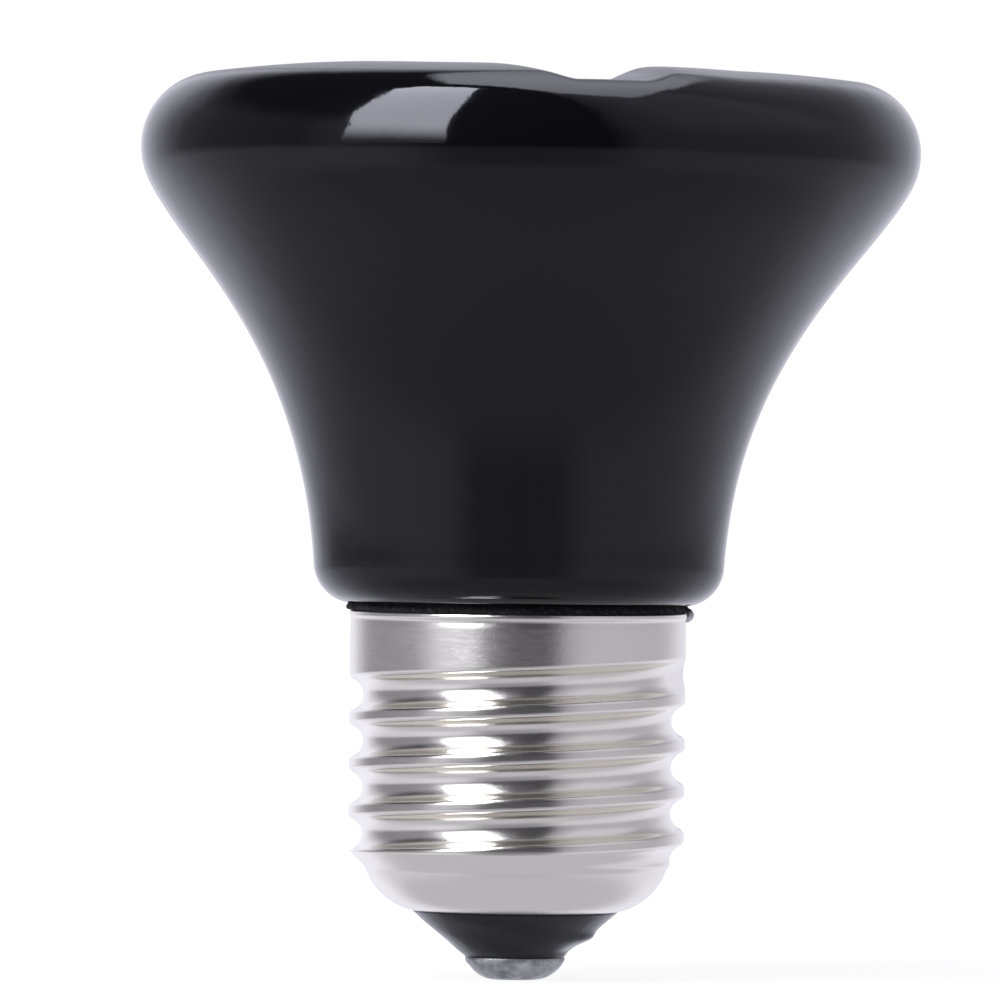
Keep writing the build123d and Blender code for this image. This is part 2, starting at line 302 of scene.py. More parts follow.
# %% Hang the main softbox
key_corners = [
    (-0.631, -0.423, 0.033),
    (-0.351, -0.752, 0.037),
    (-0.302, -0.651, 0.183),
    (-0.259, -0.550, 0.322),
    (-0.219, -0.440, 0.468),
    (-0.173, -0.282, 0.663),
    (-0.130, 0.036, 1.002),
    (-0.192, 0.113, 1.006),
    (-0.253, 0.148, 0.969),
    (-0.297, 0.095, 0.873),
    (-0.334, -0.096, 0.658),
    (-0.375, -0.183, 0.533),
    (-0.470, -0.330, 0.294),
    (-0.538, -0.379, 0.174),
]
key_radiance = 10.5
key_dimmest = (0.06, 0.06, 0.07, 1.0)
fade_bottom = 0.06
fade_top = 0.34


def new_paint(name):
    """Empty node material and its graph."""
    paint = bpy.data.materials.new(name)
    paint.use_nodes = True
    paint.node_tree.nodes.clear()
    return paint, Graph(paint.node_tree)


key_mesh = bpy.data.meshes.new("key_softbox")
key_mesh.from_pydata(key_corners, [], [tuple(range(len(key_corners)))])
key_card = bpy.data.objects.new("key_softbox", key_mesh)
bpy.context.scene.collection.objects.link(key_card)
key_card.visible_camera = False
key_paint, graph = new_paint("key_softbox")
card_height = graph.split(graph.place())[2]
card_tone = graph.mix_colour(graph.ramp(card_height, fade_bottom, fade_top), key_dimmest, cool)
glow = graph.node("ShaderNodeEmission", {"Color": card_tone, "Strength": key_radiance})
graph.node("ShaderNodeOutputMaterial", {"Surface": glow})
key_mesh.materials.append(key_paint)
key_card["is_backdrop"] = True
print("softbox corners:", len(key_corners))

# %% [markdown]
# The floor looks pale and plain. It takes the emitter's shadow, and what the camera sees of it
# is lifted to the white of the backdrop, so the shadow stays soft. Mirrored rays pass it and
# see the tabletop that the room holds.

# %% Lay the floor
floor_radius = 0.32
floor_tone = (0.13, 0.13, 0.13, 1.0)
floor_lift = 0.9
floor_mesh = bpy.data.meshes.new("floor")
floor_ring = [
    (floor_radius * math.cos(turn), floor_radius * math.sin(turn), 0.0)
    for turn in np.linspace(0, 2 * math.pi, 96, endpoint=False)
]
floor_mesh.from_pydata(floor_ring, [], [tuple(range(len(floor_ring)))])
floor = bpy.data.objects.new("floor", floor_mesh)
bpy.context.scene.collection.objects.link(floor)
floor_paint, graph = new_paint("floor")
matt = graph.node("ShaderNodeBsdfDiffuse", {"Color": floor_tone})
lift = graph.node("ShaderNodeEmission", {"Strength": graph.is_ray("Camera") * floor_lift})
both = graph.node("ShaderNodeAddShader", (matt, lift))
graph.node("ShaderNodeOutputMaterial", {"Surface": both})
floor_mesh.materials.append(floor_paint)
floor.visible_glossy = False
floor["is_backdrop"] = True
print("studio built")

# %% [markdown]
# ## Outlines
# The bell, the cap, the glass and the contact are all turned forms, so each one starts as an
# outline from the axis outwards. A pen walks the outline as a turtle does: it holds a place
# and a heading, and draws straight runs, round arcs and Bezier curves. Arcs stay arcs, and
# a reader can change one radius without moving a list of points.

# %% Draw with a pen
class Pen:
    """Walks an outline in radius and height. Headings lean out from straight up, in degrees."""

    def __init__(self, radius, height, heading=0.0):
        self.points = [(radius, height)]
        self.heading = heading

    def direction(self):
        angle = math.radians(self.heading)
        return math.sin(angle), math.cos(angle)

    def line(self, radius, height, steps=1):
        start = self.points[-1]
        for share in np.linspace(0, 1, steps + 1)[1:]:
            across = start[0] + (radius - start[0]) * share
            along = start[1] + (height - start[1]) * share
            self.points.append((across, along))
        self.heading = math.degrees(math.atan2(radius - start[0], height - start[1]))
        return self

    def arc(self, radius, turn, steps):
        """Round arc that turns left, towards the axis, or right where turn is negative."""
        side = math.copysign(1.0, turn)
        out, rise = self.direction()
        start = self.points[-1]
        centre = (start[0] - side * radius * rise, start[1] + side * radius * out)
        for share in np.linspace(0, 1, steps + 1)[1:]:
            angle = math.radians(self.heading - turn * share)
            self.points.append(
                (
                    centre[0] + side * radius * math.cos(angle),
                    centre[1] - side * radius * math.sin(angle),
                )
            )
        self.heading -= turn
        return self

    def bezier(self, radius, height, heading, pull_out, pull_in, steps):
        """Cubic curve to a point and a heading, with a pull at each end."""
        out, rise = self.direction()
        start = Vector(self.points[-1])
        end = Vector((radius, height))
        angle = math.radians(heading)
        first = start + Vector((out, rise)) * pull_out
        last = end - Vector((math.sin(angle), math.cos(angle))) * pull_in
        for share in np.linspace(0, 1, steps + 1)[1:]:
            rest = 1 - share
            point = (
                start * rest**3
                + first * 3 * rest**2 * share
                + last * 3 * rest * share**2
                + end * share**3
            )
            self.points.append(tuple(point))
        self.heading = heading
        return self


# %% [markdown]
# A lathe spins an outline about the axis. Blender's Screw modifier does that too, but it
# can't put more points where a notch needs them. So the rings of points are worked out at
# any list of azimuths, and a shape function may move each point before the mesh is made.

# %% Turn an outline into a mesh
def turned_mesh(name, outline, azimuths, shape=None, closed=True):
    """Turned mesh from an outline in millimetres. Points on the axis become poles.

    Where shape is given, it moves the points: it gets x, y and z in millimetres. An outline
    that stays off the axis is joined end to start, unless closed is false.
    """
    outline = np.array(outline, float)
    on_axis = outline[:, 0] < 1e-6
    rings = outline[~on_axis]
    x = np.outer(rings[:, 0], np.cos(azimuths))
    y = np.outer(rings[:, 0], np.sin(azimuths))
    z = np.repeat(rings[:, 1][:, None], len(azimuths), axis=1)
    poles = [(0.0, 0.0, height) for height in outline[on_axis][:, 1]]
    points = np.stack([x, y, z], axis=-1).reshape(-1, 3)
    points = np.vstack([points, np.array(poles).reshape(-1, 3)])
    if shape is not None:
        points = np.stack(shape(*points.T), axis=-1)
    count = len(azimuths)
    here = np.arange(count)
    after = (here + 1) % count
    faces = []
    for row in range(len(rings) - 1):
        low = row * count
        high = low + count
        faces += list(zip(low + here, low + after, high + after, high + here))
    first_pole = len(rings) * count
    last_row = first_pole - count
    if on_axis[0]:
        faces += [(first_pole, int(b), int(a)) for a, b in zip(here, after)]
    if on_axis[-1]:
        top_pole = first_pole + int(on_axis[0])
        faces += [(last_row + int(a), last_row + int(b), top_pole) for a, b in zip(here, after)]
    if closed and not on_axis.any():
        faces += list(zip(last_row + here, last_row + after, after, here))
    mesh = bpy.data.meshes.new(name)
    mesh.from_pydata((points * MM).tolist(), [], [tuple(int(i) for i in f) for f in faces])
    mesh.update()
    mesh.shade_smooth()
    return mesh


def even_turn(count):
    """Azimuths of an evenly divided circle."""
    return np.linspace(0, 2 * math.pi, count, endpoint=False)


def new_piece(name, mesh, *replaced):
    """Object for a mesh, riding on the one body, in place of the nodes it stands for."""
    piece = bpy.data.objects.new(name, mesh)
    bpy.context.scene.collection.objects.link(piece)
    if replaced:
        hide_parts(*replaced)
    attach(piece, "root")
    return piece


print("outline helpers ready")

# %% [markdown]
# ## Ceramic body
# The body is one hollow casting: a spigot that goes into the cap, a neck, a flared bell and
# a thick rim around a shallow dish. A boolean model gives crisp cuts, but a glaze never
# leaves one: it pulls back from edges and fills corners. So the outline is drawn and turned
# here, and the notch is sunk with a soft minimum, which rounds its lip just as a glaze does.

# %% Draw the bell's outline
body_low, body_high = (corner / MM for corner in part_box("ceramic_body"))
face_top = body_high.z
spigot_bottom = body_low.z
rim_radius = (body_high.x - body_low.x) / 2
spigot_length = 9.0
body_bottom = spigot_bottom + spigot_length
spigot_radius = 10.6
bore_radius = 7.4
neck_radius = 16.03
neck_angle = 3.7
base_round = 3.2
neck_pull = 16.85
flare_angle = 27.4
flare_pull = 6.93
rim_round_under = 6.03
rim_round_over = 5.6
shoulder_angle = 82.7
crown_round = 102.0
dish_lip_round = 5.0
dish_angle = 45.0
face_thickness = 4.6
cavity_flat = 16.0
cavity_reach = 20.0
cavity_drop = 3.2
cavity_floor_rise = 4.0
bore_chamfer = 0.3
spigot_chamfer = 0.6

shoulder_sine = math.sin(math.radians(shoulder_angle))
shoulder_cosine = math.cos(math.radians(shoulder_angle))
equator = face_top - rim_round_over * shoulder_sine - crown_round * (1 - shoulder_sine)
crown_edge = rim_radius - rim_round_over * (1 - shoulder_cosine)
ring_crest = crown_edge - crown_round * shoulder_cosine
flare_end_radius = rim_radius - rim_round_under * (1 - math.cos(math.radians(flare_angle)))
flare_end_height = equator - rim_round_under * math.sin(math.radians(flare_angle))
base_inset = base_round * math.cos(math.radians(neck_angle))
dish_lip_radius = ring_crest - dish_lip_round * math.sin(math.radians(dish_angle))
bowl_round = dish_lip_radius / math.sin(math.radians(dish_angle))
dish_bottom = face_top - (dish_lip_round + bowl_round) * (1 - math.cos(math.radians(dish_angle)))
cavity_top = dish_bottom - face_thickness

bell = Pen(0.0, cavity_top, 90.0)
bell.line(cavity_flat, cavity_top, 12)
bell.line(cavity_reach, cavity_top - cavity_drop, 4)
bell.line(bore_radius, body_bottom + cavity_floor_rise, 12)
bell.line(bore_radius, spigot_bottom + bore_chamfer, 6)
bell.line(bore_radius + bore_chamfer, spigot_bottom)
bell.line(spigot_radius - spigot_chamfer, spigot_bottom)
bell.line(spigot_radius, spigot_bottom + spigot_chamfer)
bell.line(spigot_radius, body_bottom - 0.02, 4)
bell.line(neck_radius - base_inset, body_bottom, 3)
bell.heading = 90.0
bell.arc(base_round, 90.0 - neck_angle, 14)
bell.bezier(flare_end_radius, flare_end_height, flare_angle, neck_pull, flare_pull, 64)
bell.arc(rim_round_under, flare_angle, 12)
bell.arc(rim_round_over, shoulder_angle, 34)
bell.arc(crown_round, 90.0 - shoulder_angle, 30)
bell.arc(dish_lip_round, dish_angle, 12)
bell.arc(bowl_round, -dish_angle, 26)
bell.points[-1] = (0.0, dish_bottom)
print("outline points:", len(bell.points), "rim height", round(equator, 2), "mm")

# %% [markdown]
# The notch runs outwards from the dish across the ring. Its floor is level, so it runs out
# where the rim turns down, and its flanks are S-curves. The casting was made by hand too:
# the rim rises and falls by a tenth of a millimetre or two, the far side sags by three
# quarters of one, and the head sits a little to one side of the cap.

# %% Sink the notch and add the maker's hand
notch_azimuth = math.radians(-76.5)
notch_depth = 1.45
notch_floor = 2.5
notch_flank = 5.2
notch_rise = 2.2
glaze_fill = 0.9
notch_start = 2.0
notch_full = 6.0
head_shift = 0.55
shift_start = 38.0
far_sag = 0.75
far_start = -4.0
far_full = 13.0
right_sag = 0.2
right_start = 11.0
right_full = 17.0
head_start = equator - 12.0
head_full = equator + 2.0
rim_start = 4.0
rim_full = 20.0


def smooth_step(value, start, end):
    share = np.clip((value - start) / (end - start), 0.0, 1.0)
    return share * share * (3 - 2 * share)


def soft_minimum(first, second, width):
    """Lower of two heights, rounded over a width where they cross."""
    gap = np.clip(0.5 + 0.5 * (second - first) / width, 0.0, 1.0)
    return second * (1 - gap) + first * gap - width * gap * (1 - gap)


def waves(turn, *sines):
    """Sum of sine waves round the axis, each with a count, a depth and a phase."""
    return sum(depth * np.sin(count * turn + phase) for count, depth, phase in sines)


def hand_made(x, y, z):
    """Notch, glaze waviness and the head's small shift."""
    outward = x * math.cos(notch_azimuth) + y * math.sin(notch_azimuth)
    across = -x * math.sin(notch_azimuth) + y * math.cos(notch_azimuth)
    flank = smooth_step(np.abs(across), notch_floor, notch_floor + notch_flank)
    cut = face_top - notch_depth + notch_rise * flank
    on_ring = smooth_step(outward, notch_start, notch_full)
    sunk = soft_minimum(z, cut, glaze_fill)
    above = z > dish_bottom
    z = np.where(above, z + (np.minimum(sunk, z) - z) * on_ring, z)
    turn = np.arctan2(y, x)
    reach = np.hypot(x, y)
    on_head = smooth_step(z, head_start, head_full)
    on_rim = on_head * smooth_step(reach, rim_start, rim_full)
    sway = waves(turn, (2, 0.10, 0.4), (5, 0.05, 1.9))
    far = far_sag * smooth_step(y, far_start, far_full)
    right = right_sag * smooth_step(x, right_start, right_full)
    z = z + sway * on_rim - (far + right) * on_head
    swell = 1 + on_rim * waves(turn, (3, 0.0012, 2.1), (7, 0.0008, 0.0))
    shift = head_shift * smooth_step(z, shift_start, equator)
    return x * swell + shift, y * swell, z


fine_half = math.radians(26.0)
fine_turn = np.linspace(-fine_half, fine_half, 120, endpoint=False)
coarse_turn = np.linspace(fine_half, 2 * math.pi - fine_half, 216, endpoint=False)
body_azimuths = notch_azimuth + np.concatenate([fine_turn, coarse_turn])
body_mesh = turned_mesh("ceramic_body_glazed", bell.points, body_azimuths, hand_made)
ceramic = new_piece("ceramic_body_glazed", body_mesh, "ceramic_body")
print("body faces:", len(body_mesh.polygons))

# %% [markdown]
# ## Glaze
# A black glaze is a thin sheet of glass over dark clay, so nearly all its light is mirrored.
# Its colour is close to black, with a low roughness. Two noises keep it from looking like
# plastic: a broad one makes the reflections waver, and a fine one changes the gloss.

# %% Mix the glaze
def finish_paint(graph, **sockets):
    """Principled surface from its sockets, written with underscores for spaces."""
    named = {key.replace("_", " "): value for key, value in sockets.items()}
    surface = graph.node("ShaderNodeBsdfPrincipled", named)
    graph.node("ShaderNodeOutputMaterial", {"Surface": surface})


def noise(graph, place, size, detail=2.0, roughness=0.5):
    """Cloudy noise with features of a size in millimetres."""
    settings = {"Vector": place, "Scale": 1 / (size * MM), "Detail": detail, "Roughness": roughness}
    return graph.node("ShaderNodeTexNoise", settings)


def bump(graph, relief, depth=1.0):
    """Normal from a relief, where 1 stands for a depth in millimetres."""
    settings = {"Height": relief, "Strength": 1.0, "Distance": depth * MM}
    return graph.node("ShaderNodeBump", settings)


glaze, graph = new_paint("black_glaze")
place = graph.place()
broad = noise(graph, place, 6.0)
peel = noise(graph, place, 1.1)
relief = broad * 0.05 + peel * 0.006
cloud = noise(graph, place, 9.0, 4.0)
tone = graph.mix_colour(cloud, (0.0016, 0.0016, 0.0020, 1.0), (0.0026, 0.0026, 0.0032, 1.0))
gloss = 0.045 + peel * 0.03
finish_paint(graph, Base_Color=tone, Roughness=gloss, Normal=bump(graph, relief), IOR=1.4)
body_mesh.materials.append(glaze)
print("glaze mixed")

# %% [markdown]
# ## Screw shell
# The cap is drawn from thin sheet as a plain cup, and then its thread is rolled in. The
# model does the same. A turned cup comes first, and a Geometry Nodes tree rolls the thread:
# every point finds its distance from the nearest turn of the valley's centre, and moves
# inwards to the round valley or out over the small round crest. One rule with a pitch, a
# depth and two radii makes all five turns, and the pitch is changed in one place. A soft
# minimum rounds the crease where the lowest turn runs into the dome.

# %% Draw the cup
shell_low, shell_high = (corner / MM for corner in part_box("screw_shell"))
shell_bottom = shell_low.z
rim_height = shell_high.z
shell_wall = 0.25
crest_radius = (shell_high.x - shell_low.x) / 2
thread_depth = 1.08
root_radius = crest_radius - thread_depth
dome_round = 5.0
dome_centre = root_radius - dome_round
hole_radius = 8.0
hole_angle = math.degrees(math.acos((hole_radius - dome_centre) / dome_round))
lead_in_height = 4.7
lead_in_angle = 61.0
barrel_bottom = shell_bottom + lead_in_height
bead_height = 0.55
bead_swell = 0.07
bead_edge = 0.15

cup = Pen(hole_radius, shell_bottom, hole_angle)
cup.arc(dome_round, lead_in_angle, 26)
cup.line(crest_radius, barrel_bottom, 12)
cup.line(crest_radius, rim_height - 2 * bead_height, 164)
cup.line(crest_radius - 0.5 * bead_swell, rim_height - bead_height, 3)
cup.line(crest_radius + bead_swell, rim_height - 0.6 * bead_height, 3)
cup.line(crest_radius + bead_swell, rim_height - bead_edge, 3)
cup.line(crest_radius, rim_height, 2)
cup_mesh = turned_mesh("screw_shell_rolled", cup.points, even_turn(210), closed=False)
print("cup from", round(shell_bottom, 2), "to", round(rim_height, 2), "mm")

# %% [markdown]
# The round valley and the small round crest touch without a corner, so the sum of their
# radii follows from the pitch and the depth. The tree takes all these sizes as named inputs.
# Past the last turn the valley leaves on a tangent, as a roller does when it is lifted away.

# %% Roll the thread with Geometry Nodes
thread_pitch = 3.63
thread_turns = 5
start_rise = 0.305
thread_start = shell_bottom + start_rise
thread_azimuth = math.radians(-14.4)
crest_round = 0.5
crest_land = 0.23
crest_overcut = 0.03
dome_crease = 0.3
half_width = (thread_pitch - crest_land) / 2
valley_height = thread_depth + crest_overcut
flank_rounds = (half_width**2 + valley_height**2) / (2 * valley_height)
flank_angle = 2 * math.atan2(valley_height, half_width)
valley_round = flank_rounds - crest_round

rolling = bpy.data.node_groups.new("rolled_thread", "GeometryNodeTree")
sides = rolling.interface
sides.new_socket("Geometry", in_out="INPUT", socket_type="NodeSocketGeometry")
thread_sizes = {
    "Pitch": thread_pitch * MM,
    "Turns": float(thread_turns),
    "Start Height": thread_start * MM,
    "Start Azimuth": thread_azimuth,
    "Root Radius": root_radius * MM,
    "Valley Round": valley_round * MM,
    "Crest Round": crest_round * MM,
    "Crest Height": valley_height * MM,
    "Half Width": half_width * MM,
    "Switch Distance": valley_round * math.sin(flank_angle) * MM,
    "Barrel Bottom": barrel_bottom * MM,
    "Crease Round": dome_crease * MM,
}
for size_name in thread_sizes:
    sides.new_socket(size_name, in_out="INPUT", socket_type="NodeSocketFloat")
sides.new_socket("Material", in_out="INPUT", socket_type="NodeSocketMaterial")
sides.new_socket("Geometry", in_out="OUTPUT", socket_type="NodeSocketGeometry")

roll = Graph(rolling)
entry = rolling.nodes.new("NodeGroupInput")
size = {name: Signal(roll, entry.outputs[name]) for name in thread_sizes}
px, py, pz = roll.split(roll.node("GeometryNodeInputPosition"))
full_turn = 2 * math.pi
turned = (roll.maths("ARCTAN2", py, px) - size["Start Azimuth"]) / full_turn
turn_share = roll.maths("FRACT", turned)
climb = (pz - size["Start Height"]) / size["Pitch"] - turn_share
nearest = roll.maths("ROUND", climb).most(0.0).least(size["Turns"])
apart = abs(climb - nearest) * size["Pitch"]
valley_drop = (size["Valley Round"] * size["Valley Round"] - apart * apart).root()
valley = size["Root Radius"] + size["Valley Round"] - valley_drop
short = (size["Half Width"] - apart).most(0.0)
crest_rise = (size["Crest Round"] * size["Crest Round"] - short * short).root()
crest = size["Root Radius"] + size["Crest Height"] - size["Crest Round"] + crest_rise
on_crest = roll.maths("GREATER_THAN", apart, size["Switch Distance"])
past_end = roll.maths("GREATER_THAN", nearest, size["Turns"] - 0.5)
leaving = (turn_share * full_turn).least(1.0)
tangent_lift = size["Root Radius"] / roll.maths("COSINE", leaving) - size["Root Radius"]
form = valley + (crest - valley) * on_crest + tangent_lift * past_end
reach = (px * px + py * py).root()
past_lead_in = roll.ramp(pz, size["Barrel Bottom"] - 0.2 * MM, size["Barrel Bottom"] + 0.5 * MM)
crease_round = (1.0 - past_lead_in) * size["Crease Round"]
shrink = roll.maths("SMOOTH_MIN", reach, form, crease_round) / reach
moved = roll.node("ShaderNodeCombineXYZ", (px * shrink, py * shrink, pz))
geometry = Signal(roll, entry.outputs["Geometry"])
rolled = roll.node("GeometryNodeSetPosition", {"Geometry": geometry, "Position": moved})
whole = roll.node("GeometryNodeRealizeInstances", {"Geometry": rolled})
coated = roll.node(
    "GeometryNodeSetMaterial",
    {"Geometry": whole, "Material": Signal(roll, entry.outputs["Material"])},
)
roll.node("NodeGroupOutput", {"Geometry": coated})
print("thread tree nodes:", len(rolling.nodes))

# %% [markdown]
# ## Nickel
# The shell is nickel-plated. Its skirt and dome keep the dull satin of the sheet, and the
# thread is brighter, because the rollers burnish it. Rolling also leaves faint streaks
# around the cap, so the noise is stretched: long around the axis, and short along it.

# %% Plate the shell
nickel, graph = new_paint("nickel_shell")
place = graph.place()
nickel_height = graph.split(place)[2]
lower_edge = graph.ramp(nickel_height, (barrel_bottom - 1.6) * MM, (barrel_bottom + 0.4) * MM)
upper_edge = graph.ramp(nickel_height, (rim_height - 5.2) * MM, (rim_height - 4.0) * MM)
burnished = lower_edge * (1.0 - upper_edge)
squeezed = graph.node(
    "ShaderNodeMapping", {"Vector": place, "Scale": (1.0, 1.0, 9.0)}, {"vector_type": "POINT"}
)
streaks = noise(graph, squeezed, 2.2, 3.0, 0.6)
grain = noise(graph, place, 0.5)
dents = noise(graph, place, 4.0, 2.0)
blotches = noise(graph, place, 3.0, 4.0, 0.65)
satin_rough = 0.25
burnished_rough = 0.2
unevenness = (streaks - 0.5) * 0.10 + (blotches - 0.5) * 0.08
roughness = graph.mix(burnished, satin_rough, burnished_rough) + unevenness
tone = graph.mix_colour(blotches, (0.88, 0.85, 0.77, 1.0), (0.95, 0.92, 0.84, 1.0))
satin_depth = 0.0075
thread_grain = 0.0006
grain_depth = (1.0 - burnished) * satin_depth + thread_grain
relief = dents * 0.02 + grain * grain_depth + streaks * 0.0006
plated = bump(graph, relief)
finish_paint(graph, Base_Color=tone, Metallic=1.0, Roughness=roughness, Normal=plated)


# %% [markdown]
# The tree goes on the cup as a modifier, and each size is set by its socket's identifier. A
# Solidify modifier then gives the sheet its wall, inwards from the rolled outside. The
# finished mesh is taken off the modifiers, because the export wants plain meshes.

# %% Put the thread on the cup
def plain_mesh(piece, name):
    """Mesh of a piece with its modifiers applied, which are then removed."""
    bpy.context.view_layer.update()
    evaluated = piece.evaluated_get(bpy.context.evaluated_depsgraph_get())
    mesh = bpy.data.meshes.new_from_object(evaluated)
    mesh.name = name
    piece.modifiers.clear()
    piece.data = mesh
    return mesh


shell = bpy.data.objects.new("screw_shell_rolled", cup_mesh)
bpy.context.scene.collection.objects.link(shell)
thread_step = shell.modifiers.new("thread", "NODES")
thread_step.node_group = rolling
for item in rolling.interface.items_tree:
    if item.in_out == "INPUT" and item.name in thread_sizes:
        thread_step[item.identifier] = thread_sizes[item.name]
    if item.in_out == "INPUT" and item.name == "Material":
        thread_step[item.identifier] = nickel
wall_step = shell.modifiers.new("wall", "SOLIDIFY")
wall_step.thickness = shell_wall * MM
wall_step.offset = -1.0
shell_mesh = plain_mesh(shell, "screw_shell_rolled")
shell_mesh.shade_smooth()
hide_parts("screw_shell")
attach(shell, "root")
print("shell faces:", len(shell_mesh.polygons))

# %% [markdown]
# ## Glass insulator
# Molten black glass is dropped into the cap's lower end and pressed around the eyelet, so it
# has a smooth fire-polished skin with a drip where the tool left it. The cone is turned, and
# a few soft lumps are pushed into it near the tip.

# %% Press the glass
glass_low, glass_high = (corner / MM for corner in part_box("insulator"))
contact_top = glass_low.z
glass_top = glass_high.z
contact_radius = 3.85
eyelet_radius = 0.85
seat_round = dome_round - shell_wall
seat_angle = math.degrees(math.acos((hole_radius - dome_centre) / seat_round))
seat_rise = dome_round * math.sin(math.radians(hole_angle))
seat_drop = seat_round * math.sin(math.radians(seat_angle))
seat_bottom = shell_bottom + seat_rise - seat_drop
cup_depth = 1.2
tip_lip = 0.02
tip_bevel_out = 0.1
tip_bevel_up = 0.12

glass = Pen(eyelet_radius, contact_top, 90.0)
glass.line(contact_radius + tip_lip, contact_top, 4)
glass.line(contact_radius + tip_bevel_out, contact_top + tip_bevel_up, 2)
glass.line(hole_radius, shell_bottom - 0.05, 30)
glass.line(hole_radius + 0.02, seat_bottom, 2)
glass.heading = seat_angle
glass.arc(seat_round, 50.0, 10)
glass.line(eyelet_radius, glass_top - cup_depth, 6)

drip_height = 3.3
drip_depth = 0.42
waist_height = 2.35
waist_depth = 0.34


def mound(value, middle, width):
    """Bell curve: 1 in the middle, and next to nothing two widths away."""
    return np.exp(-(((value - middle) / width) ** 2))


def push_out(x, y, distance):
    """Moves points away from the axis by a distance in millimetres."""
    grow = 1 + distance / np.maximum(np.hypot(x, y), 1.0)
    return x * grow, y * grow


def drip(x, y, z):
    """Drip on one side of the glass cone, and slight unevenness all round it."""
    turn = np.arctan2(y, x)
    free = smooth_step(z, contact_top, contact_top + 0.5)
    free = free * (1 - smooth_step(z, shell_bottom - 0.95, shell_bottom - 0.05))
    lump = drip_depth * mound(z, drip_height, 0.42) - waist_depth * mound(z, waist_height, 0.45)
    one_side = mound(turn, -0.25, 0.42) * lump
    far_side = mound(turn, -2.75, 0.6) * 0.1
    waver = waves(turn, (3, 0.04, 1.2), (5, 0.03, 2.4 * z))
    return *push_out(x, y, free * (one_side + far_side + waver)), z


glass_mesh = turned_mesh("insulator_glass", glass.points, even_turn(160), drip)
insulator = new_piece("insulator_glass", glass_mesh, "insulator")

black_glass, graph = new_paint("black_glass")
place = graph.place()
ripple = noise(graph, place, 1.6, 3.0)
pits = noise(graph, place, 0.25, 2.0)
soot = graph.tones(
    noise(graph, place, 1.1, 4.0, 0.7),
    [(0.45, (0.0015, 0.0015, 0.002, 1.0)), (0.8, (0.007, 0.006, 0.006, 1.0))],
)
pressed = bump(graph, ripple * 0.05 + pits * 0.003)
finish_paint(graph, Base_Color=soot, Roughness=0.12 + pits * 0.12, Normal=pressed, IOR=1.38)
glass_mesh.materials.append(black_glass)
print("glass pressed")

# %% [markdown]
# ## Contact and solder
# The contact is a small plate under the glass, and a drop of solder covers it and the end of
# the lead. Solder sets with a dull skin that dimples as it shrinks, and its edge creeps
# unevenly over the plate.

# %% Solder the contact
tip_low, tip_high = (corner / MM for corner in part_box("contact_solder"))
plate_bottom = tip_high.z
plate_round = 0.55
plate_bore = eyelet_radius + 0.05
plate_top = contact_top - 0.01
plate = Pen(plate_bore, plate_bottom + 0.02, 90.0)
plate.line(contact_radius - plate_round, plate_bottom, 3)
plate.heading = 90.0
plate.arc(plate_round, 90.0, 8)
plate.line(contact_radius, plate_top, 3)
plate.line(plate_bore, plate_top, 3)
plate_mesh = turned_mesh("contact_plate", plate.points, even_turn(120))
contact_plate = new_piece("contact_plate", plate_mesh, "centre_contact")

solder_flat = 1.5
solder_radius = contact_radius + 0.02
solder_top = contact_top - 0.06
solder = Pen(0.0, tip_low.z, 90.0)
solder.line(solder_flat, tip_low.z, 8)
solder.bezier(solder_radius, contact_top - 0.2, 28.0, 1.1, 1.0, 26)
solder.line(solder_radius, solder_top, 4)
solder.line(0.0, solder_top, 6)


def creep(x, y, z):
    """Lumps and a creeping edge on the solder, which stays flat at its tip."""
    turn = np.arctan2(y, x)
    free = smooth_step(z, tip_low.z + 0.05, plate_bottom)
    lip = 0.06 * mound(turn, -0.5, 0.4)
    waver = waves(turn, (2, 0.05, 0.6), (5, 0.05, 1.0))
    return *push_out(x, y, free * (lip + waver - 0.03)), z


solder_mesh = turned_mesh("contact_solder_drop", solder.points, even_turn(140), creep)
solder_drop = new_piece("contact_solder_drop", solder_mesh, "contact_solder")

tin, graph = new_paint("solder")
place = graph.place()
dimples = noise(graph, place, 0.9, 3.0, 0.6)
grain = noise(graph, place, 0.12, 2.0)
tone = graph.tones(
    noise(graph, place, 1.3, 4.0, 0.65),
    [(0.35, (0.26, 0.26, 0.26, 1.0)), (0.7, (0.64, 0.64, 0.62, 1.0))],
)
set_skin = bump(graph, dimples * 0.07 + grain * 0.004)
dullness = 0.32 + dimples * 0.25
finish_paint(graph, Base_Color=tone, Metallic=1.0, Roughness=dullness, Normal=set_skin)
solder_mesh.materials.append(tin)
plate_mesh.materials.append(tin)
print("plate", round(plate_bottom, 2), "to", round(contact_top, 2), "mm")

# %% [markdown]
# ## Cement and the side joint
# Cement squeezes out between the shell and the body as they are pressed together, and sets
# as a dark crumbly line. It shows as a ragged ring, so its outline is rough by design. The
# second lead comes over the shell's rim and ends in a bead of solder.

# %% Squeeze out the cement
cement_radius = crest_radius - shell_wall
cement_length = 7.0
cement_bottom = rim_height - cement_length
cement_lip = 0.6
cement_bore = spigot_radius + 0.02
cement_top = body_bottom + 0.05
valley_inside = root_radius - shell_wall
cement = Pen(cement_bore, cement_bottom, 90.0)
cement.line(valley_inside, cement_bottom, 2)
cement.line(valley_inside, rim_height - 1.8, 4)
cement.line(cement_radius - 0.03, rim_height - 1.2, 3)
cement.line(cement_radius - 0.02, rim_height, 6)
cement.line(cement_radius + 0.02, rim_height + 0.3, 4)
cement.line(cement_radius - 0.2, cement_top, 4)
cement.line(cement_bore, cement_top, 3)


